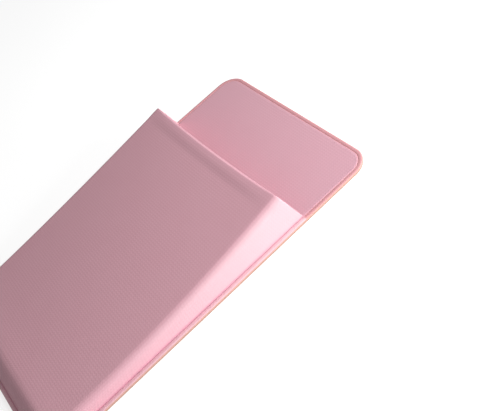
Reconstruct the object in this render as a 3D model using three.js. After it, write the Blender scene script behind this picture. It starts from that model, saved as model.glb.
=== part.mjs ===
// Stick-on stretch pocket: an adhesive sheet, a fabric back panel and a knitted
// front panel that is pressed to the back panel round its sides and its lower end.
// Millimetres. +Z is up from the surface that the pocket sticks to, +Y runs towards the mouth and
// +X to the right seen from the front. The origin is the middle of the sticky underside.
import * as THREE from 'three';

// Outline that the three layers share
const width = 57.5;
const length = 92;
const cornerRadius = 5;
const rimWidth = 1;

// Layers
const adhesiveThickness = 0.35;
const adhesiveInset = 0.1;
const backingThickness = 0.5;
const backingEdgeRound = 0.16;
const fabricThickness = 0.4;
const flangeThickness = 0.24;
const creaseDepth = 0.16;
const creaseWidth = 0.5;

// Stretched pocket, as it stands when it is filled
const mouthSetback = 20;
const mouthLean = 2.3;
const mouthRise = 8.95;
const footRise = 3.85;
const riseCurve = 1.35;
const wallLean = 0.3;
const shoulderRadius = 2;
const endRun = 6;
const plateauCrown = 0.25;
const hemWidth = 3;
const hemRise = 0.22;
const lipRound = 0.2;

// Fineness of the lofted surfaces
const sideSteps = 24;
const cornerSteps = 7;
const acrossSteps = 16;
const wallSteps = 4;
const shoulderSteps = 6;

// Levels and lines worked out from the sizes above
const backingTop = adhesiveThickness + backingThickness;
const creaseHalfWidth = width / 2 - rimWidth;
const creaseEndY = -length / 2 + rimWidth;
const creaseRadius = cornerRadius - rimWidth;
const mouthY = length / 2 - mouthSetback;

const adhesiveMaterial = new THREE.MeshStandardMaterial({ color: 0xc9a18f, roughness: 0.6, metalness: 0 });
const backingMaterial = new THREE.MeshStandardMaterial({ color: 0xf0b4bd, roughness: 0.85, metalness: 0 });
const knitMaterial = new THREE.MeshStandardMaterial({ color: 0xf3c3cd, roughness: 0.8, metalness: 0 });

// Gathers points and triangles into one closed body
class Skin {
  constructor() {
    this.positions = [];
    this.triangles = [];
  }

  point(x, y, z) {
    this.positions.push(x, y, z);
    return this.positions.length / 3 - 1;
  }

  triangle(a, b, c) {
    this.triangles.push(a, b, c);
  }

  quad(a, b, c, d) {
    this.triangle(a, b, c);
    this.triangle(a, c, d);
  }

  // Joins two rows of equal length; a closed row runs on from its last point to its first
  strip(lower, upper, closed = false) {
    const count = closed ? lower.length : lower.length - 1;
    for (let i = 0; i < count; i += 1) {
      const next = (i + 1) % lower.length;
      this.quad(lower[i], upper[i], upper[next], lower[next]);
    }
  }

  fan(centre, row) {
    for (let i = 0; i < row.length - 1; i += 1) {
      this.triangle(centre, row[i], row[i + 1]);
    }
  }

  geometry() {
    const geometry = new THREE.BufferGeometry();
    geometry.setAttribute('position', new THREE.Float32BufferAttribute(this.positions, 3));
    geometry.setIndex(this.triangles);
    geometry.computeVertexNormals();
    return geometry;
  }
}

function smoothStep(from, to, value) {
  const t = Math.min(Math.max((value - from) / (to - from), 0), 1);
  return t * t * (3 - 2 * t);
}

// Rounded rectangle in plan, run clockwise seen from above, at a distance inside the outer edge
function outlineRing(skin, inset, z) {
  const radius = cornerRadius - inset;
  const centreX = width / 2 - cornerRadius;
  const centreY = length / 2 - cornerRadius;
  const corners = [[1, -1, 0], [-1, -1, -0.5], [-1, 1, -1], [1, 1, -1.5]];
  const ring = [];
  for (const [sideX, sideY, turn] of corners) {
    for (let i = 0; i <= cornerSteps; i += 1) {
      const angle = Math.PI * (turn - (0.5 * i) / cornerSteps);
      const x = sideX * centreX + radius * Math.cos(angle);
      const y = sideY * centreY + radius * Math.sin(angle);
      ring.push(skin.point(x, y, z));
    }
  }
  return ring;
}

// Closes a level ring with triangles that meet at its middle
function capRing(skin, ring, z, faceUp) {
  const centre = skin.point(0, 0, z);
  const around = [...ring, ring[0]];
  skin.fan(centre, faceUp ? around.reverse() : around);
}

// Thin sticky sheet under the whole outline
function adhesiveSheet() {
  const skin = new Skin();
  const bottom = outlineRing(skin, adhesiveInset, 0);
  const top = outlineRing(skin, adhesiveInset, adhesiveThickness);
  capRing(skin, bottom, 0, false);
  skin.strip(bottom, top, true);
  capRing(skin, top, adhesiveThickness, true);
  return skin.geometry();
}

// Flat fabric panel with a softened cut edge and a crease pressed in all round, inside the rim
function backPanel() {
  const skin = new Skin();
  const groove = backingTop - creaseDepth;
  const section = [
    [0, adhesiveThickness],
    [0, backingTop - backingEdgeRound],
    [backingEdgeRound * 0.3, backingTop - backingEdgeRound * 0.3],
    [backingEdgeRound, backingTop],
    [rimWidth - creaseWidth / 2, backingTop],
    [rimWidth - creaseWidth / 8, groove],
    [rimWidth + creaseWidth / 8, groove],
    [rimWidth + creaseWidth / 2, backingTop],
  ];
  const rings = section.map(([inset, z]) => outlineRing(skin, inset, z));
  capRing(skin, rings[0], adhesiveThickness, false);
  for (let i = 0; i < rings.length - 1; i += 1) {
    skin.strip(rings[i], rings[i + 1], true);
  }
  capRing(skin, rings[rings.length - 1], backingTop, true);
  return skin.geometry();
}

// Share of the way from the mouth to the lower corners, closer spaced at the hem
function sideShare(step) {
  return (step / sideSteps) ** 2;
}

// Height of the stretched front above the back panel
function riseAt(share) {
  return footRise + (mouthRise - footRise) * (1 - share) ** riseCurve;
}

// Extra thickness of the turned hem behind the mouth
function hemAt(share) {
  const fromMouth = share * (mouthY - creaseEndY - creaseRadius);
  return hemRise * (1 - smoothStep(hemWidth - 0.4, hemWidth + 0.8, fromMouth));
}

// One side of the pocket wall seen along Y: how far in and how high each level lies
function wallLevel(level, rise, inset) {
  const radius = Math.min(shoulderRadius - inset, rise * 0.6);
  if (level <= wallSteps) {
    const share = level / wallSteps;
    return { inward: wallLean * share, height: (rise - radius) * share };
  }
  const angle = (Math.PI / 2) * ((level - wallSteps) / shoulderSteps);
  return {
    inward: wallLean + radius * (1 - Math.cos(angle)),
    height: rise - radius + radius * Math.sin(angle),
  };
}

// A U-shaped row of points at one level: down the right side, round the lower end, up the left.
// levelAt gives the row's half width, lower end and height for each share of the side's length
function pocketRow(skin, levelAt) {
  const right = [];
  for (let step = 0; step <= sideSteps; step += 1) {
    const share = sideShare(step);
    const level = levelAt(share);
    const top = mouthY - mouthLean * level.share;
    const bottom = level.endY + creaseRadius;
    right.push([level.halfWidth, top + (bottom - top) * share, level.z]);
  }
  const foot = levelAt(1);
  for (let step = 1; step <= cornerSteps; step += 1) {
    const angle = (-Math.PI / 2) * (step / cornerSteps);
    const x = foot.halfWidth - creaseRadius + creaseRadius * Math.cos(angle);
    const y = foot.endY + creaseRadius + creaseRadius * Math.sin(angle);
    right.push([x, y, foot.z]);
  }
  const [cornerX, cornerY, cornerZ] = right[right.length - 1];
  const middle = [];
  for (let step = 1; step < acrossSteps; step += 1) {
    middle.push([cornerX * (1 - (2 * step) / acrossSteps), cornerY, cornerZ]);
  }
  const left = right.map(([x, y, z]) => [-x, y, z]).reverse();
  return [...right, ...middle, ...left].map(([x, y, z]) => skin.point(x, y, z));
}

// Rows of the pressed flange, from its lower outer edge in to the crease
function flangeRows(skin) {
  const section = [
    [rimWidth, 0],
    [rimWidth, flangeThickness * 0.6],
    [rimWidth * 0.92, flangeThickness],
    [creaseWidth / 2, flangeThickness],
  ];
  return section.map(([outward, lift]) => pocketRow(skin, () => ({
    share: 0,
    halfWidth: creaseHalfWidth + outward,
    endY: creaseEndY - outward,
    z: backingTop + lift,
  })));
}

// Rows of the raised pocket, from the crease up to the edge of its flat front.
// inset is 0 for the outer face and the fabric's thickness for the inner one
function wallRows(skin, inset, hem) {
  const rows = [];
  const lift = flangeThickness - creaseDepth;
  for (let index = 0; index <= wallSteps + shoulderSteps; index += 1) {
    rows.push(pocketRow(skin, (share) => {
      const rise = riseAt(share) - inset;
      const level = wallLevel(index, rise, inset);
      const heightShare = level.height / rise;
      const stand = hem ? hemAt(share) * heightShare : 0;
      const base = hem ? lift * (1 - heightShare) : 0;
      return {
        share: heightShare,
        halfWidth: creaseHalfWidth - inset - level.inward + stand,
        endY: creaseEndY + inset + (endRun - inset) * (1 - Math.sqrt(1 - heightShare)),
        z: backingTop + level.height + base + stand,
      };
    }));
  }
  return rows;
}

// Rows across the flat front, between the two sides of its edge row, with a slight crown
function plateauGrid(skin, edge) {
  const rowCount = sideSteps + cornerSteps;
  const grid = [];
  for (let row = 0; row < rowCount; row += 1) {
    const right = edge[row];
    const [x, y, z] = skin.positions.slice(right * 3, right * 3 + 3);
    const crown = plateauCrown * Math.sin(Math.PI * Math.min(row / rowCount, 1));
    const line = [right];
    for (let step = 1; step < acrossSteps; step += 1) {
      const across = 1 - (2 * step) / acrossSteps;
      line.push(skin.point(x * across, y, z + crown * (1 - across * across)));
    }
    line.push(edge[edge.length - 1 - row]);
    grid.push(line);
  }
  grid.push(edge.slice(rowCount, edge.length - rowCount));
  return grid;
}

// The chain of points along the mouth, from the right crease over the front to the left crease
function mouthChain(rows, grid) {
  const last = rows[0].length - 1;
  const up = rows.map((row) => row[0]);
  const down = rows.map((row) => row[last]).reverse();
  return [...up, ...grid[0].slice(1, -1), ...down];
}

// Rounded fold of the hem between the outer and the inner face of the mouth
function lipChain(skin, outer, inner) {
  return outer.map((point, index) => {
    const a = skin.positions.slice(point * 3, point * 3 + 3);
    const b = skin.positions.slice(inner[index] * 3, inner[index] * 3 + 3);
    const heightShare = Math.min((b[2] - backingTop) / mouthRise, 1);
    const forward = lipRound * (0.3 + 0.7 * heightShare);
    return skin.point((a[0] + b[0]) / 2, (a[1] + b[1]) / 2 + forward, (a[2] + b[2]) / 2);
  });
}

// Stretched knit pocket: a thin shell, open at the mouth, with a flange pressed flat all round
function frontPanel() {
  const skin = new Skin();
  const flange = flangeRows(skin);
  const outer = wallRows(skin, 0, true);
  const inner = wallRows(skin, fabricThickness, false);
  const outerGrid = plateauGrid(skin, outer[outer.length - 1]);
  const innerGrid = plateauGrid(skin, inner[inner.length - 1]);

  const outside = [...flange, ...outer];
  for (let i = 0; i < outside.length - 1; i += 1) {
    skin.strip(outside[i], outside[i + 1]);
  }
  for (let i = 0; i < inner.length - 1; i += 1) {
    skin.strip(inner[i + 1], inner[i]);
  }
  for (let row = 0; row < outerGrid.length - 1; row += 1) {
    skin.strip(outerGrid[row + 1], outerGrid[row]);
    skin.strip(innerGrid[row], innerGrid[row + 1]);
  }
  skin.strip(inner[0], flange[0]);

  const outerMouth = mouthChain(outer, outerGrid);
  const innerMouth = mouthChain(inner, innerGrid);
  const lip = lipChain(skin, outerMouth, innerMouth);
  skin.strip(outerMouth, lip);
  skin.strip(lip, innerMouth);

  const last = flange[0].length - 1;
  const rightEnd = [lip[0], outer[0][0], ...flange.map((row) => row[0]).reverse()];
  const leftEnd = [...flange.map((row) => row[last]), outer[0][last], lip[lip.length - 1]];
  skin.fan(inner[0][0], rightEnd);
  skin.fan(inner[0][last], leftEnd);
  return skin.geometry();
}

function piece(name, geometry, material) {
  const mesh = new THREE.Mesh(geometry, material);
  mesh.name = name;
  return mesh;
}

const stretchPocket = new THREE.Group();
stretchPocket.add(piece('adhesive_sheet', adhesiveSheet(), adhesiveMaterial));
stretchPocket.add(piece('back_panel', backPanel(), backingMaterial));
stretchPocket.add(piece('front_panel', frontPanel(), knitMaterial));

export default stretchPocket;
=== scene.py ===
"""Looks of a stick-on stretch pocket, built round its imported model.

The pocket is three layers: a sticky sheet, a fabric faced back panel and a stretched knit front
that is pressed to the panel round its sides and lower end. All lengths are in metres.
"""

import logging
import math
from dataclasses import dataclass, field
from enum import Enum
from functools import partial
from typing import Any, Callable

import bpy
import numpy as np
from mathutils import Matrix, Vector


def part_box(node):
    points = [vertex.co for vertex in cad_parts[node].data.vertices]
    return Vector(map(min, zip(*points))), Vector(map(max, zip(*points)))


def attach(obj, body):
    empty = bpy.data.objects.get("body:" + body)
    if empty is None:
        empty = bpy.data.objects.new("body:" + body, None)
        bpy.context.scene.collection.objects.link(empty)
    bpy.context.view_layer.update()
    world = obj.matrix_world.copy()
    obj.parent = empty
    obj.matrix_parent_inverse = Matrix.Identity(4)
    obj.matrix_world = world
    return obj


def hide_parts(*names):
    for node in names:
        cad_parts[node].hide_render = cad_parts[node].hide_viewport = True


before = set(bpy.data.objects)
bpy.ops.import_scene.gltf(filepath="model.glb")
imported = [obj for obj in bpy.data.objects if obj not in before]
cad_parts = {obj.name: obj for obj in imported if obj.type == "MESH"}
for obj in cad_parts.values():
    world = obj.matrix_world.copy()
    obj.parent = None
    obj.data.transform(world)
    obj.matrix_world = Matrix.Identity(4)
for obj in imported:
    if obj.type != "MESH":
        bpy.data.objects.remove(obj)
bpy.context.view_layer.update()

LOG = logging.getLogger("stretch_pocket")
MM = 0.001
BODY = "root"
# Sockets of a colour mix node: its two colours in and its colour out
MIX_FROM, MIX_TO, MIX_OUT = 6, 7, 2


class Layer(Enum):
    """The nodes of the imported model, one for each layer."""

    ADHESIVE = "adhesive_sheet"
    PANEL = "back_panel"
    KNIT = "front_panel"


class Slot(Enum):
    """Names of the material slots."""

    ADHESIVE = "adhesive"
    PANEL = "panel_fabric"
    KNIT = "stretch_knit"


class WearAndLight(Enum):
    """Tints on the cloth, some real and some painted shade and highlight: the attributes its colour
    follows.
    """

    # Paler pink on the pocket's walls towards the mouth and on its flange: partly stretched knit,
    # partly a painted highlight
    STRAIN_AND_HIGHLIGHT = "strain_and_highlight"
    # The panel's real salmon rim, and on the pocket a darker crease line that is painted shade
    PRESSED_AND_CREASE_SHADE = "pressed"
    CUT = "cut_edge"


def linear(hex_colour: str) -> tuple[float, float, float, float]:
    """Turn an sRGB hex colour into linear light.

    Args:
        hex_colour: Six hex digits, such as "f3bcc8".

    Returns:
        Red, green, blue and an alpha of 1, for a colour socket.
    """
    toe, toe_slope, offset, gamma = 0.04045, 12.92, 0.055, 2.4
    parts = [int(hex_colour[i:i + 2], 16) / 255 for i in (0, 2, 4)]
    light = [c / toe_slope if c <= toe else ((c + offset) / (1 + offset)) ** gamma for c in parts]
    return (*light, 1.0)


def add_node(
    tree: bpy.types.NodeTree,
    kind: str,
    settings: dict[str, Any] | None = None,
    inputs: dict[Any, Any] | None = None,
) -> bpy.types.Node:
    """Add a shader node, set it up and link it.

    Args:
        tree: The node tree that gets the node.
        kind: The node's type name.
        settings: Properties of the node itself.
        inputs: Values for its input sockets, by name or number. An output socket is linked.

    Returns:
        The new node.
    """
    node = tree.nodes.new(kind)
    for name, value in (settings or {}).items():
        setattr(node, name, value)
    for name, value in (inputs or {}).items():
        if isinstance(value, bpy.types.NodeSocket):
            tree.links.new(value, node.inputs[name])
        else:
            node.inputs[name].default_value = value
    return node


def smooth_step(start: float, stop: float, value: np.ndarray) -> np.ndarray:
    """Ease from 0 at start to 1 at stop.

    Args:
        start: Value at which the step begins.
        stop: Value at which it is complete.
        value: Values to ease.

    Returns:
        The eased share for each value.
    """
    share = np.clip((np.asarray(value, float) - start) / (stop - start), 0, 1)
    return share * share * (3 - 2 * share)


class Finish:
    """A material made from nodes, with its base tree ready."""

    @staticmethod
    def start(name: str) -> tuple[bpy.types.Material, bpy.types.NodeTree, bpy.types.Node]:
        """Make an empty material with an output.

        Args:
            name: The material's name.

        Returns:
            The material, its node tree and its output node.
        """
        material = bpy.data.materials.new(name)
        material.use_nodes = True
        tree = material.node_tree
        tree.nodes.clear()
        return material, tree, add_node(tree, "ShaderNodeOutputMaterial")


@dataclass(frozen=True)
class TricotKnit(Finish):
    """Nylon and elastane tricot, warp knitted, dyed and stretched.

    Fine lengthwise wales of small loops give it a smooth, softly glowing face: dull at a glance
    and paler where it turns away. Real wales are about 0.3 mm apart, finer than a pixel of the
    render, so they are drawn 0.8 mm apart to show at all.
    """

    name: str
    colour: str
    deep_colour: str
    # Tints: the pressed colour, which is painted shade in the pocket's crease line, and a paler pink,
    # partly a painted highlight
    pressed_and_crease_shade_colour: str
    strain_and_highlight_colour: str
    cut_colour: str = "e8b6a6"
    # Loops: their spacing and roundness, and the painted shade between them
    wale_mm: float = 0.8
    course_mm: float = 0.65
    loop_power: float = 0.6
    wale_share: float = 0.65
    gap_shade: float = 0.45
    gap_top: float = 0.8
    # Fuzz of single fibres, and wide soft clouds in the dye
    fibre_mm: float = 0.12
    fibre_detail: float = 2.0
    fibre_share: float = 0.5
    cloud_mm: float = 9.0
    cloud_detail: float = 3.0
    cloud_share: float = 0.22
    # Relief and the way the face takes the light
    relief_mm: float = 0.028
    relief_strength: float = 0.7
    roughness: float = 0.78
    refraction: float = 1.5
    sheen: float = 0.22
    sheen_roughness: float = 0.4
    sheen_colour: str = "ffe6ec"

    def loops(self, tree: bpy.types.NodeTree) -> bpy.types.NodeSocket:
        """Draw the height of the knitted loops over the cloth.

        Args:
            tree: The material's node tree.

        Returns:
            A socket with the height, from 0 between the loops to 1 on them.
        """
        cloth = add_node(tree, "ShaderNodeAttribute", {"attribute_name": "cloth_mm"})
        axes = add_node(tree, "ShaderNodeSeparateXYZ", None, {0: cloth.outputs["Vector"]})
        values: dict[Any, Any] = {"x": axes.outputs["X"], "y": axes.outputs["Y"]}
        # Each row is a result's name, the operation and its two terms: a number or an earlier name
        sums = (
            ("wales", "DIVIDE", "x", self.wale_mm),
            ("courses", "DIVIDE", "y", self.course_mm),
            ("wale_angle", "MULTIPLY", "wales", math.pi),
            ("wale_wave", "SINE", "wale_angle", 0.0),
            ("wale", "ABSOLUTE", "wale_wave", 0.0),
            ("leg", "PINGPONG", "wales", 0.5),
            ("slant", "ADD", "courses", "leg"),
            ("loop_angle", "MULTIPLY", "slant", math.pi),
            ("loop_wave", "SINE", "loop_angle", 0.0),
            ("loop", "ABSOLUTE", "loop_wave", 0.0),
            ("rounded", "POWER", "loop", self.loop_power),
            ("ridge", "MULTIPLY", "wale", self.wale_share),
            ("raised", "ADD", "ridge", 1 - self.wale_share),
            ("loops", "MULTIPLY", "raised", "rounded"),
        )
        for name, operation, first, second in sums:
            ends = {0: values.get(first, first), 1: values.get(second, second)}
            values[name] = add_node(tree, "ShaderNodeMath", {"operation": operation}, ends).outputs[0]
        return values["loops"]

    def fibres(self, tree: bpy.types.NodeTree, size_mm: float, detail: float) -> bpy.types.NodeSocket:
        """Draw soft noise of a real size over the cloth.

        Args:
            tree: The material's node tree.
            size_mm: Size of one patch of the noise.
            detail: Octaves of finer noise in it.

        Returns:
            A socket with the noise, from 0 to 1.
        """
        cloth = add_node(tree, "ShaderNodeAttribute", {"attribute_name": "cloth_mm"})
        grain = add_node(
            tree, "ShaderNodeTexNoise", {"noise_dimensions": "3D"},
            {"Vector": cloth.outputs["Vector"], "Scale": 1 / size_mm, "Detail": detail},
        )
        return grain.outputs["Fac"]

    def build(self) -> bpy.types.Material:
        """Make the knit's material.

        Returns:
            The material: pink turned deeper between the loops as painted shade and in random soft
                clouds, then its tints, some of them painted shade and highlight.
        """
        material, tree, output = self.start(self.name)
        loops = self.loops(tree)
        fuzz = self.fibres(tree, self.fibre_mm, self.fibre_detail)
        clouds = self.fibres(tree, self.cloud_mm, self.cloud_detail)
        # Painted shade: the pink turns deeper in the gaps between the loops, and random soft clouds
        # add tone
        gap_shade_share = add_node(
            tree, "ShaderNodeMapRange", None,
            {"Value": loops, "From Max": self.gap_top, "To Min": self.gap_shade, "To Max": 0.0},
        )
        shade = add_node(
            tree, "ShaderNodeMath", {"operation": "MULTIPLY_ADD"},
            {0: clouds, 1: self.cloud_share, 2: gap_shade_share.outputs[0]},
        )
        colour = add_node(
            tree, "ShaderNodeMix", {"data_type": "RGBA"},
            {0: shade.outputs[0], MIX_FROM: linear(self.colour), MIX_TO: linear(self.deep_colour)},
        )
        # Tints in turn: paler pink that is partly a painted highlight, the pressed colour that is
        # painted shade in the pocket's crease line, and the real cut edge
        tints = {
            WearAndLight.STRAIN_AND_HIGHLIGHT: self.strain_and_highlight_colour,
            WearAndLight.PRESSED_AND_CREASE_SHADE: self.pressed_and_crease_shade_colour,
            WearAndLight.CUT: self.cut_colour,
        }
        for wear_and_light, tint in tints.items():
            share = add_node(tree, "ShaderNodeAttribute", {"attribute_name": wear_and_light.value})
            colour = add_node(
                tree, "ShaderNodeMix", {"data_type": "RGBA"},
                {0: share.outputs["Fac"], MIX_FROM: colour.outputs[MIX_OUT], MIX_TO: linear(tint)},
            )
        height = add_node(
            tree, "ShaderNodeMath", {"operation": "MULTIPLY_ADD"},
            {0: fuzz, 1: self.fibre_share, 2: loops},
        )
        bump = add_node(
            tree, "ShaderNodeBump", None,
            {
                "Height": height.outputs[0],
                "Distance": self.relief_mm * MM,
                "Strength": self.relief_strength,
            },
        )
        cloth = add_node(
            tree, "ShaderNodeBsdfPrincipled", None,
            {
                "Base Color": colour.outputs[MIX_OUT],
                "Roughness": self.roughness,
                "Normal": bump.outputs[0],
                "IOR": self.refraction,
                "Sheen Weight": self.sheen,
                "Sheen Roughness": self.sheen_roughness,
                "Sheen Tint": linear(self.sheen_colour),
            },
        )
        tree.links.new(cloth.outputs[0], output.inputs["Surface"])
        return material


@dataclass(frozen=True)
class CastAdhesive(Finish):
    """Acrylic adhesive cast as a sheet and die cut.

    It is peach and rubbery, with a cut edge that is slightly glossy and finely streaked.
    """

    name: str
    colour: str
    deep_colour: str
    streak_mm: float = 0.8
    streak_detail: float = 3.0
    relief_mm: float = 0.02
    relief_strength: float = 0.5
    roughness: float = 0.48
    refraction: float = 1.47

    def build(self) -> bpy.types.Material:
        """Make the adhesive's material.

        Returns:
            The material: two peach tones in fine streaks.
        """
        material, tree, output = self.start(self.name)
        place = add_node(tree, "ShaderNodeTexCoord")
        grain = add_node(
            tree, "ShaderNodeTexNoise", None,
            {
                "Vector": place.outputs["Object"],
                "Scale": 1 / (self.streak_mm * MM),
                "Detail": self.streak_detail,
            },
        )
        colour = add_node(
            tree, "ShaderNodeMix", {"data_type": "RGBA"},
            {
                0: grain.outputs["Fac"],
                MIX_FROM: linear(self.colour),
                MIX_TO: linear(self.deep_colour),
            },
        )
        bump = add_node(
            tree, "ShaderNodeBump", None,
            {
                "Height": grain.outputs["Fac"],
                "Distance": self.relief_mm * MM,
                "Strength": self.relief_strength,
            },
        )
        sheet = add_node(
            tree, "ShaderNodeBsdfPrincipled", None,
            {
                "Base Color": colour.outputs[MIX_OUT],
                "Roughness": self.roughness,
                "Normal": bump.outputs[0],
                "IOR": self.refraction,
            },
        )
        tree.links.new(sheet.outputs[0], output.inputs["Surface"])
        return material


@dataclass(frozen=True)
class PaintedFloor(Finish):
    """Matt white painted board, lifted to the white of the studio where the camera sees it."""

    name: str = "white_painted_board"
    colour: str = "f4f4f4"
    lift: float = 0.62

    def build(self) -> bpy.types.Material:
        """Make the floor's material, which keeps the object's shadow.

        Returns:
            The material: white paint, with a glow that lights nothing but the view of it.
        """
        material, tree, output = self.start(self.name)
        paint = add_node(tree, "ShaderNodeBsdfDiffuse", None, {"Color": linear(self.colour)})
        rays = add_node(tree, "ShaderNodeLightPath")
        seen = add_node(
            tree, "ShaderNodeMath", {"operation": "MAXIMUM"},
            {0: rays.outputs["Is Camera Ray"], 1: rays.outputs["Is Glossy Ray"]},
        )
        strength = add_node(
            tree, "ShaderNodeMath", {"operation": "MULTIPLY"}, {0: seen.outputs[0], 1: self.lift},
        )
        glow = add_node(
            tree, "ShaderNodeEmission", None,
            {"Color": (1, 1, 1, 1), "Strength": strength.outputs[0]},
        )
        both = add_node(tree, "ShaderNodeAddShader", None, {0: paint.outputs[0], 1: glow.outputs[0]})
        tree.links.new(both.outputs[0], output.inputs["Surface"])
        return material


@dataclass
class MeshMaker:
    """Gathers rows of points and faces into one mesh with its cloth coordinates."""

    points: list[np.ndarray] = field(default_factory=list)
    cloth: list[np.ndarray] = field(default_factory=list)
    faces: list[tuple[int, ...]] = field(default_factory=list)
    count: int = 0

    def add_points(self, points: np.ndarray, cloth: np.ndarray) -> np.ndarray:
        """Add points.

        Args:
            points: One row of x, y and z for each point, in metres.
            cloth: Where each point lies on the cloth, in metres.

        Returns:
            The numbers of the new points.
        """
        numbers = np.arange(self.count, self.count + len(points))
        self.points.append(np.asarray(points, float))
        self.cloth.append(np.asarray(cloth, float))
        self.count += len(points)
        return numbers

    def strip(self, lower: np.ndarray, upper: np.ndarray, closed: bool = False) -> None:
        """Join two rows of equal length by four-sided faces.

        Args:
            lower: Point numbers of the first row.
            upper: Point numbers of the second row.
            closed: Whether each row runs on from its last point to its first.
        """
        total = len(lower)
        for i in range(total if closed else total - 1):
            j = (i + 1) % total
            self.faces.append((int(lower[i]), int(upper[i]), int(upper[j]), int(lower[j])))

    def fan(self, centre: int, row: list[int]) -> None:
        """Fill the space between a point and a row by triangles."""
        for a, b in zip(row[:-1], row[1:]):
            self.faces.append((int(centre), int(a), int(b)))

    def polygon(self, row: list[int]) -> None:
        """Add one flat face with any number of corners."""
        self.faces.append(tuple(int(i) for i in row))

    def all_points(self) -> np.ndarray:
        """Give every point so far as one array."""
        return np.concatenate(self.points)

    def build(
        self, name: str, material: bpy.types.Material, wear_and_light: dict[WearAndLight, np.ndarray] | None = None,
    ) -> bpy.types.Object:
        """Make the mesh object.

        Args:
            name: The object's name.
            material: The material of all its faces.
            wear_and_light: For each tint, of real colour and painted light alike, how much of it each
                point has, from 0 to 1.

        Returns:
            The object, shaded smooth.
        """
        mesh = bpy.data.meshes.new(name)
        mesh.from_pydata(self.all_points().tolist(), [], self.faces)
        mesh.materials.append(material)
        cloth = np.zeros((self.count, 3))
        cloth[:, :2] = np.concatenate(self.cloth)[:, :2] / MM
        layer = mesh.attributes.new("cloth_mm", "FLOAT_VECTOR", "POINT")
        layer.data.foreach_set("vector", cloth.ravel())
        for kind, share in (wear_and_light or {}).items():
            mesh.attributes.new(kind.value, "FLOAT", "POINT").data.foreach_set("value", share)
        mesh.polygons.foreach_set("use_smooth", [True] * len(mesh.polygons))
        mesh.validate()
        mesh.update()
        piece = bpy.data.objects.new(name, mesh)
        bpy.context.scene.collection.objects.link(piece)
        return piece


@dataclass
class Outline:
    """The rounded outline that the three layers share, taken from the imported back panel."""

    corner_radius: float = 5.0 * MM
    rim: float = 1.0 * MM
    corner_steps: int = 14
    half_width: float = field(init=False)
    half_length: float = field(init=False)
    bottom: float = field(init=False)
    top: float = field(init=False)

    def __post_init__(self) -> None:
        """Read the panel's size from the frame."""
        low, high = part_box(Layer.PANEL.value)
        self.half_width = (high[0] - low[0]) / 2
        self.half_length = (high[1] - low[1]) / 2
        self.bottom, self.top = low[2], high[2]

    def ring(self, inset: float) -> np.ndarray:
        """Walk once round the outline, clockwise seen from above.

        Args:
            inset: How far inside the outer edge.

        Returns:
            The x and y of each point.
        """
        radius = self.corner_radius - inset
        middle = np.array([self.half_width, self.half_length]) - self.corner_radius
        points = []
        for side_x, side_y, turn in ((1, -1, 0.0), (-1, -1, 0.5), (-1, 1, 1.0), (1, 1, 1.5)):
            for step in range(self.corner_steps + 1):
                angle = -math.pi * (turn + 0.5 * step / self.corner_steps)
                out = np.array([math.cos(angle), math.sin(angle)]) * radius
                points.append(middle * (side_x, side_y) + out)
        return np.array(points)

    def inset_of(self, points: np.ndarray) -> np.ndarray:
        """Measure how far inside the outer edge points lie in plan.

        Args:
            points: Points with their x and y first.

        Returns:
            The distance of each point from the edge.
        """
        middle = np.array([self.half_width, self.half_length]) - self.corner_radius
        past = np.abs(points[:, :2]) - middle
        outside = np.linalg.norm(np.maximum(past, 0), axis=1)
        inside = np.minimum(past.max(axis=1), 0)
        return self.corner_radius - outside - inside

    def level(self, maker: MeshMaker, inset: float, z: float) -> np.ndarray:
        """Add the outline's points at one inset and height.

        Args:
            maker: The mesh that gets them.
            inset: How far inside the outer edge.
            z: Their height.

        Returns:
            The numbers of the points.
        """
        plan = self.ring(inset)
        return maker.add_points(np.column_stack([plan, np.full(len(plan), z)]), plan)


@dataclass
class AdhesiveSheet:
    """The thin sticky sheet under the whole outline."""

    outline: Outline
    inset: float = 0.1 * MM
    edge_round: float = 0.05 * MM
    edge_middle: float = 0.3
    finish: CastAdhesive = CastAdhesive("peach_acrylic_adhesive_cast", "dcb3a3", "c19783")

    def build(self) -> bpy.types.Object:
        """Make the sheet, with its cut edge softened at the top.

        Returns:
            The sheet's object.
        """
        maker = MeshMaker()
        high = self.outline.bottom
        middle = self.edge_round * self.edge_middle
        section = [
            (self.inset, 0.0),
            (self.inset, high - self.edge_round),
            (self.inset + middle, high - middle),
            (self.inset + self.edge_round, high),
        ]
        rings = [self.outline.level(maker, inset, z) for inset, z in section]
        for lower, upper in zip(rings[:-1], rings[1:]):
            maker.strip(lower, upper, closed=True)
        maker.polygon(list(rings[0]))
        maker.polygon(list(rings[-1][::-1]))
        piece = maker.build("peach_adhesive_sheet", self.finish.build())
        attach(piece, BODY)
        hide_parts(Layer.ADHESIVE.value)
        return piece


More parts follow.
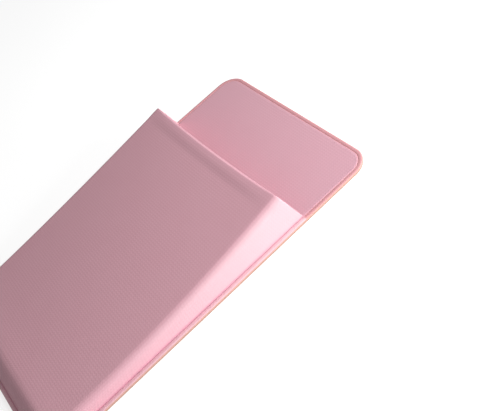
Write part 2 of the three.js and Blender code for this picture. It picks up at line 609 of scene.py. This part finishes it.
@dataclass
class BackPanel:
    """The fabric faced panel, with a rounded cut edge and a crease pressed in inside its rim."""

    outline: Outline
    # Crease, and the rounding of the cut edge inwards and downwards
    crease_depth: float = 0.11 * MM
    crease_width: float = 0.36 * MM
    edge_run: float = 0.45 * MM
    edge_drop: float = 0.2 * MM
    edge_steps: int = 5
    crease_steps: int = 8
    # In rims: the rings inside the crease, and where the pressed tint fades
    inner_rims: tuple[float, ...] = (1.6, 2.5, 4.0)
    pressed_rims: tuple[float, float] = (0.95, 1.2)
    cut_share: float = 0.3
    finish: TricotKnit = TricotKnit(
        "pink_nylon_tricot_bonded", "fac4d2", "f0afbf", "f7b2b8", "fbd0da",
    )

    def section(self) -> list[tuple[float, float]]:
        """Lay out the panel's edge in section, from the underside to the flat middle.

        Returns:
            The inset and the height of each ring.
        """
        low, high = self.outline.bottom, self.outline.top
        rings = [(0.0, low)]
        for step in range(self.edge_steps + 1):
            angle = math.pi / 2 * step / self.edge_steps
            inset = self.edge_run * (1 - math.cos(angle))
            rings.append((inset, high - self.edge_drop * (1 - math.sin(angle))))
        rim, half = self.outline.rim, self.crease_width / 2
        for share in np.linspace(-1, 1, self.crease_steps + 1).tolist():
            dip = math.cos(math.pi * share / 2) ** 2
            rings.append((rim + half * share, high - self.crease_depth * dip))
        return rings + [(rim * times, high) for times in self.inner_rims]

    def build(self) -> bpy.types.Object:
        """Make the panel and say how its cloth lies.

        Returns:
            The panel's object.
        """
        maker = MeshMaker()
        rings = [self.outline.level(maker, inset, z) for inset, z in self.section()]
        for lower, upper in zip(rings[:-1], rings[1:]):
            maker.strip(lower, upper, closed=True)
        maker.polygon(list(rings[0]))
        maker.polygon(list(rings[-1][::-1]))
        points = maker.all_points()
        inset = self.outline.inset_of(points)
        side = 1 - smooth_step(self.outline.top - self.edge_drop, self.outline.top, points[:, 2])
        start, stop = (self.outline.rim * times for times in self.pressed_rims)
        wear_and_light = {
            WearAndLight.PRESSED_AND_CREASE_SHADE: 1 - smooth_step(start, stop, inset),
            WearAndLight.CUT: side * (inset < self.edge_run * self.cut_share),
        }
        piece = maker.build("back_panel_cloth", self.finish.build(), wear_and_light)
        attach(piece, BODY)
        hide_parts(Layer.PANEL.value)
        return piece


@dataclass
class StretchPocket:
    """The knitted front: a thin stretched shell with a turned hem, soft shoulders and a flange."""

    outline: Outline
    # Fabric, and the flange and crease where it is pressed
    fabric: float = 0.4 * MM
    flange: float = 0.24 * MM
    crease_depth: float = 0.16 * MM
    crease_width: float = 0.5 * MM
    # Height of the front at the mouth and at the lower end, and the curve between them
    mouth_rise: float = 8.95 * MM
    foot_rise: float = 3.85 * MM
    rise_curve: float = 1.35
    # The same for the right side, and where across the front, from -1 to 1, its fall starts
    right_foot_rise: float = 3.3 * MM
    right_rise_curve: float = 2.1
    right_start: float = -0.6
    # How the mouth leans and bows back, and how far down the front the bow reaches
    mouth_lean: float = 2.3 * MM
    mouth_bow: float = 0.7 * MM
    mouth_margin: float = 0.06 * MM
    bow_reach: float = 30.0 * MM
    # Side walls, shoulders, the lower end's slope and the crown across the front
    wall_lean: float = 0.3 * MM
    shoulder: float = 2.1 * MM
    shoulder_limit: float = 0.6
    end_run: float = 4.4 * MM
    crown: float = 0.25 * MM
    # Rolled hem: where its crest ends and it runs out, its height and its share on the walls
    hem_crest: float = 1.5 * MM
    hem_width: float = 4.6 * MM
    hem_rise: float = 0.27 * MM
    hem_side: float = 0.2
    # Lip turned over at the mouth, with its roundness at the foot as a share of that on top
    lip_width: float = 0.55 * MM
    lip_drop: float = 0.22 * MM
    lip_round: float = 0.22 * MM
    lip_foot: float = 0.3
    # Tints: least share of the paler pink, partly a painted highlight, at the rim, the width of the
    # crease line's painted shade and where the flange's tint ends
    least_strain_and_highlight: float = 0.4
    crease_shade_width: float = 0.22
    flange_top: float = 3.0
    # Mesh steps, and how they crowd towards the hem
    side_steps: int = 96
    corner_steps: int = 18
    across_steps: int = 72
    wall_steps: int = 12
    shoulder_steps: int = 14
    lip_steps: int = 6
    hem_crowding: float = 1.8
    finish: TricotKnit = TricotKnit(
        "pink_nylon_tricot_stretched", "f9c1ce", "efa9b9", "eaa9bd", "fbd0d8",
    )
    mouth_y: float = field(init=False)
    crease_half: float = field(init=False)
    crease_end: float = field(init=False)
    crease_radius: float = field(init=False)

    def __post_init__(self) -> None:
        """Take the mouth from the frame and the crease from the shared outline."""
        self.mouth_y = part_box(Layer.KNIT.value)[1][1] - self.mouth_margin
        self.crease_half = self.outline.half_width - self.outline.rim
        self.crease_end = -self.outline.half_length + self.outline.rim
        self.crease_radius = self.outline.corner_radius - self.outline.rim

    def shares(self) -> np.ndarray:
        """Give the shares of the side's length, closer together at the hem."""
        return np.linspace(0, 1, self.side_steps + 1) ** self.hem_crowding

    def rise(self, share: np.ndarray) -> np.ndarray:
        """Give the height of the front above the back panel for shares of the side's length."""
        return self.foot_rise + (self.mouth_rise - self.foot_rise) * (1 - share) ** self.rise_curve

    def right_drop(self, share: np.ndarray) -> np.ndarray:
        """Compare the right side's height with the left's, which stands fuller.

        Args:
            share: Shares of the side's length, from the mouth.

        Returns:
            The right side's height as a share of the left's.
        """
        reach = self.mouth_rise - self.right_foot_rise
        right = self.right_foot_rise + reach * (1 - share) ** self.right_rise_curve
        return right / self.rise(share)

    def hem(self, share: np.ndarray) -> np.ndarray:
        """Measure how far the rolled hem stands proud.

        Args:
            share: Shares of the side's length, from the mouth.

        Returns:
            The height of the hem over the plain front, below 0 at the turned lip.
        """
        from_mouth = share * (self.mouth_y - self.crease_end - self.crease_radius)
        roll = self.hem_rise * (1 - smooth_step(self.hem_crest, self.hem_width, from_mouth))
        edge = np.clip(1 - from_mouth / self.lip_width, 0, 1)
        return roll - self.lip_drop * edge ** 2

    def wall(self, level: int, rise: np.ndarray, inset: float) -> tuple[np.ndarray, np.ndarray]:
        """Give one level of the side wall in section.

        Args:
            level: Number of the level, from the crease up to the flat front.
            rise: Height of the front at each share.
            inset: 0 for the outer face, or the fabric's thickness for the inner one.

        Returns:
            How far in from the crease, and how high, the level lies at each share.
        """
        radius = np.minimum(self.shoulder - inset, rise * self.shoulder_limit)
        if level <= self.wall_steps:
            share = level / self.wall_steps
            return np.full_like(rise, self.wall_lean * share), (rise - radius) * share
        angle = math.pi / 2 * (level - self.wall_steps) / self.shoulder_steps
        inward = self.wall_lean + radius * (1 - math.cos(angle))
        return inward, rise - radius + radius * math.sin(angle)

    def row(self, place: Callable[[np.ndarray], tuple[np.ndarray, ...]]) -> np.ndarray:
        """Lay a U-shaped row of points: down the right, round the lower end and up the left.

        Args:
            place: Gives height share, half width, lower end and z for shares of the side.

        Returns:
            The x, y and z of each point.
        """
        share = self.shares()
        high, half, end, z = (np.broadcast_to(v, share.shape) for v in place(share))
        top = self.mouth_y - self.mouth_lean * high
        side = np.column_stack([half, top + (end + self.crease_radius - top) * share, z])
        angle = -math.pi / 2 * np.arange(1, self.corner_steps + 1) / self.corner_steps
        corner = np.column_stack([
            half[-1] + self.crease_radius * (np.cos(angle) - 1),
            end[-1] + self.crease_radius * (1 + np.sin(angle)),
            np.full(len(angle), z[-1]),
        ])
        right = np.concatenate([side, corner])
        inner = 1 - 2 * np.arange(1, self.across_steps) / self.across_steps
        middle = np.repeat(right[-1:], len(inner), axis=0)
        middle[:, 0] *= inner
        left = right[::-1] * (-1, 1, 1)
        return np.concatenate([right, middle, left])

    def directions(self) -> np.ndarray:
        """Find the outward direction in plan at each point of a row.

        Returns:
            The x and y of each direction.
        """
        angle = -math.pi / 2 * np.arange(1, self.corner_steps + 1) / self.corner_steps
        right = np.concatenate([
            np.repeat([[1.0, 0.0]], self.side_steps + 1, axis=0),
            np.column_stack([np.cos(angle), np.sin(angle)]),
        ])
        middle = np.repeat([[0.0, -1.0]], self.across_steps - 1, axis=0)
        return np.concatenate([right, middle, right[::-1] * (-1, 1)])

    def flange_rows(self) -> list[np.ndarray]:
        """Lay the rows of the pressed flange.

        Returns:
            The rows, from its lower outer edge in to the crease.
        """
        rim, crease, thick = self.outline.rim, self.crease_width, self.flange
        # How far out from the crease and how high: a rounded cut rim, then a dip into the crease
        section = [
            (rim, -thick * 0.4),
            (rim, 0.0),
            (rim * 0.99, thick * 0.3),
            (rim * 0.94, thick * 0.6),
            (rim * 0.84, thick * 0.85),
            (rim * 0.7, thick),
            (crease * 0.6, thick * 1.05),
            (crease * 0.35, thick * 0.9),
            (crease * 0.15, thick * 0.45),
        ]
        return [self.row(partial(self.place_flange, out=out, lift=lift)) for out, lift in section]

    def place_flange(self, share: np.ndarray, out: float, lift: float) -> tuple[np.ndarray, ...]:
        """Place one row of the flange.

        Args:
            share: Shares of the side's length, from the mouth.
            out: How far out from the crease.
            lift: How high over the back panel.

        Returns:
            Height share, half width, lower end and z at each share.
        """
        places = (0.0, self.crease_half + out, self.crease_end - out, self.outline.top + lift)
        return tuple(np.full_like(share, place) for place in places)

    def wall_rows(self, inset: float, outer: bool) -> list[np.ndarray]:
        """Lay the rows of the raised pocket, from the crease up to the edge of its flat front.

        Args:
            inset: 0 for the outer face, or the fabric's thickness for the inner one.
            outer: Whether the rows carry the hem and start in the crease.

        Returns:
            The rows, lowest first.
        """
        return [
            self.row(partial(self.place_wall, level=level, inset=inset, outer=outer))
            for level in range(self.wall_steps + self.shoulder_steps + 1)
        ]

    def place_wall(
        self, share: np.ndarray, level: int, inset: float, outer: bool,
    ) -> tuple[np.ndarray, ...]:
        """Place one row of the raised pocket.

        Args:
            share: Shares of the side's length, from the mouth.
            level: Number of the level, from the crease up to the flat front.
            inset: 0 for the outer face, or the fabric's thickness for the inner one.
            outer: Whether the row carries the hem and starts in the crease.

        Returns:
            Height share, half width, lower end and z at each share.
        """
        rise = self.rise(share) - inset
        inward, height = self.wall(level, rise, inset)
        high = height / rise
        stand = self.hem(share) * self.hem_side * high if outer else np.zeros_like(share)
        base = (self.flange - self.crease_depth) * (1 - high) if outer else 0.0
        run = (self.end_run - inset) * (1 - np.sqrt(np.clip(1 - high, 0, 1)))
        half = self.crease_half - inset - inward + stand
        return high, half, self.crease_end + inset + run, self.outline.top + height + base + stand

    def front_grid(self, edge: np.ndarray, outer: bool) -> np.ndarray:
        """Fill the flat front between the two sides of its edge row.

        Args:
            edge: The highest row of the wall.
            outer: Whether this face carries the hem, which fades out towards the shoulders.

        Returns:
            Rows of points across the front, from the mouth to the lower end.
        """
        rows = self.side_steps + self.corner_steps
        across = 1 - 2 * np.arange(self.across_steps + 1) / self.across_steps
        grid = np.zeros((rows + 1, self.across_steps + 1, 3))
        hem = np.concatenate([self.hem(self.shares()), np.zeros(self.corner_steps)])
        rolls = hem * (1 - self.hem_side) if outer else np.zeros(rows + 1)
        for number in range(rows + 1):
            x, y, z = edge[number]
            bulge = self.crown * math.sin(math.pi * number / rows)
            grid[number, :, 0] = x * across
            grid[number, :, 1] = y
            grid[number, :, 2] = z + bulge * (1 - across ** 2) + rolls[number] * (1 - across ** 4)
        return grid

    def shape(self, points: np.ndarray) -> np.ndarray:
        """Bow the mouth back in its middle and let the right side lie lower than the left.

        Args:
            points: Points of the raised pocket.

        Returns:
            The moved points.
        """
        moved = points.copy()
        length = self.mouth_y - self.crease_end - self.crease_radius
        share = np.clip((self.mouth_y - points[:, 1]) / length, 0, 1)
        past = points[:, 0] / self.crease_half - self.right_start
        right = np.clip(past / (1 - self.right_start), 0, 1) ** 2
        above = np.maximum(points[:, 2] - self.outline.top, 0)
        moved[:, 2] += above * (self.right_drop(share) - 1) * right
        high = np.clip((points[:, 2] - self.outline.top) / self.mouth_rise, 0, 1)
        near = np.clip(1 - (self.mouth_y - points[:, 1]) / self.bow_reach, 0, 1) ** 2
        across = np.clip(1 - (points[:, 0] / self.crease_half) ** 2, 0, 1)
        moved[:, 1] -= self.mouth_bow * across * near * high
        return moved

    def cloth_places(self, rows: list[np.ndarray]) -> list[np.ndarray]:
        """Unroll the wall: where each point lies on the cloth when it is laid flat.

        Args:
            rows: Rows from the lowest to the highest.

        Returns:
            The x and y on the cloth for each row, in the same order.
        """
        out = self.directions()
        below = np.zeros(len(out))
        places = [rows[-1][:, :2]]
        for upper, lower in zip(rows[:0:-1], rows[-2::-1]):
            below = below + np.linalg.norm(upper - lower, axis=1)
            places.append(rows[-1][:, :2] + out * below[:, None])
        return places[::-1]

    def build(self) -> bpy.types.Object:
        """Make the pocket as one closed thin shell, open at the mouth.

        Returns:
            The pocket's object.
        """
        maker = MeshMaker()
        outside = self.flange_rows() + self.wall_rows(0.0, True)
        inside = self.wall_rows(self.fabric, False)
        outside_cloth = self.cloth_places(outside)
        inside_cloth = self.cloth_places(inside)
        outer = [maker.add_points(self.shape(r), c) for r, c in zip(outside, outside_cloth)]
        inner = [maker.add_points(self.shape(r), c) for r, c in zip(inside, inside_cloth)]
        for lower, upper in zip(outer[:-1], outer[1:]):
            maker.strip(lower, upper)
        for lower, upper in zip(inner[:-1], inner[1:]):
            maker.strip(upper, lower)
        maker.strip(inner[0], outer[0])
        outer_front = self.add_front(maker, self.front_grid(outside[-1], True), outer[-1])
        inner_front = self.add_front(maker, self.front_grid(inside[-1], False), inner[-1])
        for upper, lower in zip(outer_front[:-1], outer_front[1:]):
            maker.strip(lower, upper)
        for upper, lower in zip(inner_front[:-1], inner_front[1:]):
            maker.strip(upper, lower)
        flange_count = len(outer) - len(inner)
        self.close_mouth(maker, outer, inner, outer_front, inner_front, flange_count)
        return self.dress(maker)

    def add_front(self, maker: MeshMaker, grid: np.ndarray, numbers: np.ndarray) -> list[np.ndarray]:
        """Add the flat front's inner points.

        Args:
            maker: The mesh that gets them.
            grid: The rows of points across the front.
            numbers: The point numbers of the wall's highest row.

        Returns:
            The point numbers of each row across the front.
        """
        rows = []
        for number, line in enumerate(grid[:-1]):
            middle = maker.add_points(self.shape(line[1:-1]), line[1:-1, :2])
            rows.append(np.concatenate([[numbers[number]], middle, [numbers[-1 - number]]]))
        last = len(grid) - 1
        rows.append(numbers[last:len(numbers) - last])
        return rows

    def close_mouth(
        self, maker: MeshMaker, outer: list[np.ndarray], inner: list[np.ndarray],
        outer_front: list[np.ndarray], inner_front: list[np.ndarray], flange_count: int,
    ) -> None:
        """Turn the fabric over at the mouth and close the flange's two ends.

        Args:
            maker: The mesh.
            outer: Rows of the outside, flange first.
            inner: Rows of the inside.
            outer_front: Rows across the outside of the front.
            inner_front: Rows across the inside of the front.
            flange_count: How many of the outer rows are flange.
        """
        raised = outer[flange_count:]
        over = [r[0] for r in raised] + list(outer_front[0][1:-1]) + [r[-1] for r in raised[::-1]]
        under = [r[0] for r in inner] + list(inner_front[0][1:-1]) + [r[-1] for r in inner[::-1]]
        points = maker.all_points()
        a, b = points[over], points[under]
        high = np.clip((b[:, 2] - self.outline.top) / self.mouth_rise, 0, 1)
        forward = self.lip_round * (self.lip_foot + (1 - self.lip_foot) * high)
        chains = [np.array(over)]
        for turn in range(1, self.lip_steps):
            angle = math.pi * turn / self.lip_steps
            across = (1 - math.cos(angle)) / 2
            place = a + (b - a) * across
            place[:, 1] += forward * math.sin(angle)
            cloth = place[:, :2] + (0, self.fabric)
            chains.append(maker.add_points(place, cloth))
        chains.append(np.array(under))
        for first, second in zip(chains[:-1], chains[1:]):
            maker.strip(first, second)
        for side in (0, -1):
            flange = [r[side] for r in outer[:flange_count]]
            lip = [c[side] for c in chains[:-1]]
            ends = lip[::-1] + flange[::-1]
            maker.fan(inner[0][side], ends if side == 0 else ends[::-1])

    def dress(self, maker: MeshMaker) -> bpy.types.Object:
        """Make the object and mark its tints: painted shade in the crease line and a paler pink,
        partly a painted highlight.

        Args:
            maker: The finished mesh.

        Returns:
            The pocket's object.
        """
        points = maker.all_points()
        inset = self.outline.inset_of(points)
        height = points[:, 2] - self.outline.top
        rim = self.outline.rim
        low = 1 - smooth_step(self.flange, self.flange * self.flange_top, height)
        # A darker line along the crease: painted shade
        line = np.exp(-((inset - rim) / (self.crease_width * self.crease_shade_width)) ** 2)
        # Paler pink on the walls towards the mouth and on the flange: partly stretched knit, partly a
        # painted highlight
        on_wall = 1 - smooth_step(rim + self.wall_lean, rim + self.shoulder, inset)
        toward_mouth = smooth_step(self.crease_end, self.mouth_y, points[:, 1])
        at_rim = self.least_strain_and_highlight + (1 - self.least_strain_and_highlight) * toward_mouth
        wear_and_light = {
            WearAndLight.PRESSED_AND_CREASE_SHADE: low * line,
            WearAndLight.STRAIN_AND_HIGHLIGHT: np.maximum(on_wall * toward_mouth, low * at_rim),
        }
        piece = maker.build("pink_stretch_pocket", self.finish.build(), wear_and_light)
        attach(piece, BODY)
        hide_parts(Layer.KNIT.value)
        return piece


@dataclass
class Studio:
    """Floor, lamps, sky and camera."""

    floor_size: float = 6.0
    floor_gap: float = 0.02 * MM
    sky: float = 0.235
    key_power: float = 0.92
    key_size: float = 0.16
    key_distance: float = 0.35
    key_azimuth: float = 32.0
    key_elevation: float = 10.0
    fill_power: float = 0.125
    fill_size: float = 0.1
    fill_distance: float = 0.18
    fill_azimuth: float = 62.0
    fill_elevation: float = 40.0
    camera_place: tuple[float, float, float] = (152.18 * MM, -7.63 * MM, 130.84 * MM)
    camera_turn: tuple[float, float, float] = (42.321, 22.405, 50.705)
    lens_mm: float = 61.19
    sensor_mm: float = 36.0
    clip_start: float = 1.0 * MM
    shift: tuple[float, float] = (-0.1, -0.047)

    def add_floor(self) -> bpy.types.Object:
        """Lay the pale floor just under the object.

        Returns:
            The floor's object.
        """
        half = self.floor_size / 2
        mesh = bpy.data.meshes.new("floor")
        corners = [(-half, -half), (half, -half), (half, half), (-half, half)]
        mesh.from_pydata([(x, y, -self.floor_gap) for x, y in corners], [], [(0, 1, 2, 3)])
        mesh.materials.append(PaintedFloor().build())
        floor = bpy.data.objects.new("floor", mesh)
        bpy.context.scene.collection.objects.link(floor)
        return floor

    def add_sky(self) -> None:
        """Light the scene evenly from all round, with white where the camera looks past the floor."""
        world = bpy.data.worlds.new("studio_sky")
        bpy.context.scene.world = world
        world.use_nodes = True
        tree = world.node_tree
        tree.nodes.clear()
        rays = add_node(tree, "ShaderNodeLightPath")
        strength = add_node(
            tree, "ShaderNodeMapRange", None,
            {"Value": rays.outputs["Is Camera Ray"], "To Min": self.sky, "To Max": 1.0},
        )
        light = add_node(
            tree, "ShaderNodeBackground", None,
            {"Color": (1, 1, 1, 1), "Strength": strength.outputs[0]},
        )
        add_node(tree, "ShaderNodeOutputWorld", None, {"Surface": light.outputs[0]})

    def add_lamp(
        self, name: str, power: float, size: float, distance: float, azimuth: float, elevation: float,
    ) -> None:
        """Hang a square soft lamp that looks at the object.

        Args:
            name: The lamp's name.
            power: Its power in watts.
            size: The side of the square.
            distance: How far it hangs from the object.
            azimuth: Its direction from +X towards +Y, in degrees.
            elevation: Its height above the floor, in degrees.
        """
        data = bpy.data.lights.new(name, "AREA")
        data.energy, data.shape, data.size = power, "SQUARE", size
        turn, climb = math.radians(azimuth), math.radians(elevation)
        flat = math.cos(climb)
        away = Vector((math.cos(turn) * flat, math.sin(turn) * flat, math.sin(climb)))
        lamp = bpy.data.objects.new(name, data)
        lamp.location = away * distance
        lamp.rotation_euler = away.to_track_quat("Z", "Y").to_euler()
        bpy.context.scene.collection.objects.link(lamp)

    def add_camera(self) -> None:
        """Set the camera to the photograph's place, turn and lens."""
        data = bpy.data.cameras.new("camera")
        data.lens, data.sensor_width = self.lens_mm, self.sensor_mm
        data.shift_x, data.shift_y = self.shift
        data.clip_start = self.clip_start
        camera = bpy.data.objects.new("camera", data)
        camera.location = self.camera_place
        camera.rotation_euler = [math.radians(v) for v in self.camera_turn]
        bpy.context.scene.collection.objects.link(camera)
        bpy.context.scene.camera = camera

    def build(self) -> None:
        """Make the whole studio."""
        self.add_camera()
        self.add_floor()
        self.add_sky()
        self.add_lamp(
            "key_lamp", self.key_power, self.key_size,
            self.key_distance, self.key_azimuth, self.key_elevation,
        )
        self.add_lamp(
            "fill_lamp", self.fill_power, self.fill_size,
            self.fill_distance, self.fill_azimuth, self.fill_elevation,
        )
        bpy.context.scene.view_settings.view_transform = "Standard"


def main() -> None:
    """Build the studio and the three layers, in order."""
    logging.basicConfig(level=logging.INFO)
    Studio().build()
    outline = Outline()
    for part in (AdhesiveSheet(outline), BackPanel(outline), StretchPocket(outline)):
        piece = part.build()
        LOG.info("%s: %d faces", piece.name, len(piece.data.polygons))


if __name__ == "__main__":
    main()
